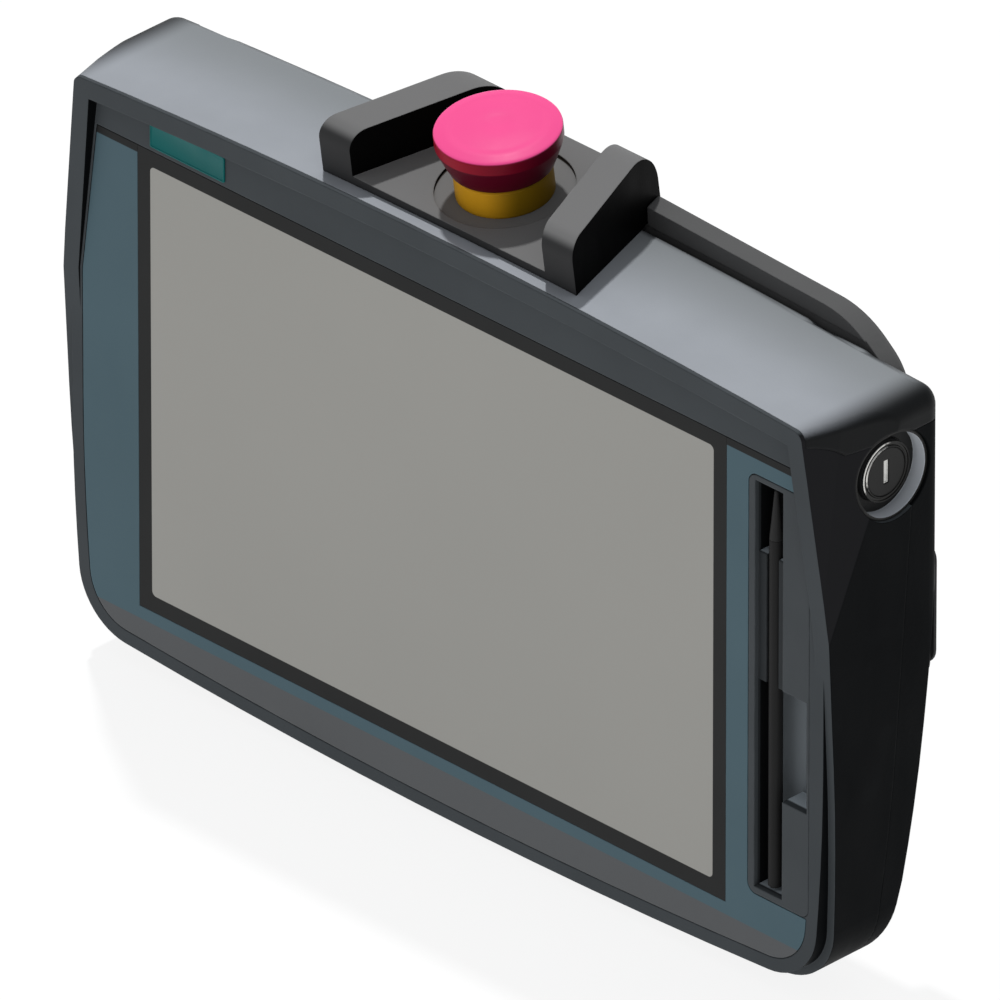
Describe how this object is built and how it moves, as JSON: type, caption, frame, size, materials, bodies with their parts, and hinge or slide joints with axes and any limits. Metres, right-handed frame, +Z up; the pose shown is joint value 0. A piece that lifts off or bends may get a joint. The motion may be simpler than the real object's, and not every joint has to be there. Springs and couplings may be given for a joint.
{
  "type": "handheld operator panel",
  "caption": "Handheld operator panel with a wide touch display, a guarded emergency stop on top, a side key switch, a stylus bay and a rear grip with an enabling button.",
  "frame": {"origin": "middle of the flat rear face, where a holder carries the panel", "axes": "+X to the right of someone facing the display, +Y from the display towards the back, +Z up"},
  "size_m": [0.2952, 0.0581, 0.2138],
  "materials": {
    "deck_plastic": "fine satin grain",
    "front_plastic": "fine satin grain",
    "rear_plastic": "fine satin grain",
    "grip_plastic": "soft-touch grain",
    "seal_rubber": "matt",
    "screw_steel": "zinc plated",
    "foil_blue": "printed polyester foil",
    "display_glass": "printed touch panel",
    "module_steel": "pressed sheet",
    "bracket_steel": "zinc plated sheet",
    "board_green": "solder mask",
    "standoff_brass": "turned",
    "component_plastic": "moulded",
    "tray_plastic": "fine satin grain",
    "stylus_plastic": "satin",
    "stylus_tip_plastic": "smooth",
    "guard_plastic": "fine satin grain",
    "collar_yellow": "moulded",
    "knob_red": "moulded",
    "shaft_plastic": "moulded",
    "barrel_plastic": "moulded thread",
    "nut_plastic": "moulded",
    "contact_plastic": "moulded",
    "spring_steel": "drawn wire",
    "cup_plastic": "satin",
    "lock_steel": "plated",
    "nut_steel": "zinc plated",
    "cylinder_steel": "turned",
    "button_rubber": "matt",
    "lid_plastic": "fine satin grain",
    "inlet_plastic": "moulded"
  },
  "bodies": {
    "housing": {"top_cover": "deck_plastic", "front_shell": "front_plastic", "rear_shell": "rear_plastic", "rear_grip": "grip_plastic", "housing_seal": "seal_rubber", "housing_screws": "screw_steel", "front_foil": "foil_blue", "touch_glass": "display_glass", "display_module": "module_steel", "display_bracket": "bracket_steel", "main_board": "board_green", "board_standoffs": "standoff_brass", "board_components": "component_plastic", "stylus_tray": "tray_plastic", "estop_guard": "guard_plastic", "estop_collar": "collar_yellow", "estop_barrel": "barrel_plastic", "estop_nut": "nut_plastic", "estop_contact_block": "contact_plastic", "estop_spring": "spring_steel", "key_cup": "cup_plastic", "key_lock_body": "lock_steel", "key_nut": "nut_steel", "key_contact_block": "contact_plastic", "enabling_switch": "contact_plastic", "enabling_spring": "spring_steel", "connection_lid": "lid_plastic", "lid_screws": "screw_steel", "cable_inlet": "inlet_plastic", "inlet_nut": "nut_plastic"},
    "estop_plunger": {"estop_shaft": "shaft_plastic"},
    "estop_head": {"estop_knob": "knob_red"},
    "key_rotor": {"key_cylinder": "cylinder_steel"},
    "enabling_cap": {"enabling_button": "button_rubber"},
    "stylus": {"stylus_barrel": "stylus_plastic", "stylus_tip": "stylus_tip_plastic"}
  },
  "joints": [
    {"name": "estop_press", "type": "slide", "parent": "housing", "child": "estop_plunger", "axis": [0, 0.1392, -0.9903], "range_m": [0, 0.0045], "stiffness_N_per_m": 3000, "deforming": ["estop_spring"]},
    {"name": "estop_twist", "type": "hinge", "parent": "estop_plunger", "child": "estop_head", "pos_m": [0, -0.0198, 0.0359], "axis": [0, -0.1392, 0.9903], "range_deg": [-40, 0], "stiffness_Nm_per_rad": 0.2},
    {"name": "key_turn", "type": "hinge", "parent": "housing", "child": "key_rotor", "pos_m": [0.144, -0.0184, 0.0046], "axis": [1, 0, 0], "range_deg": [0, 90]},
    {"name": "enabling_press", "type": "slide", "parent": "housing", "child": "enabling_cap", "axis": [0, -1, 0], "range_m": [0, 0.002], "stiffness_N_per_m": 2500, "deforming": ["enabling_spring"]},
    {"name": "stylus_lift", "type": "slide", "parent": "housing", "child": "stylus", "axis": [0, -1, 0], "range_m": [0, 0.03]}
  ]
}
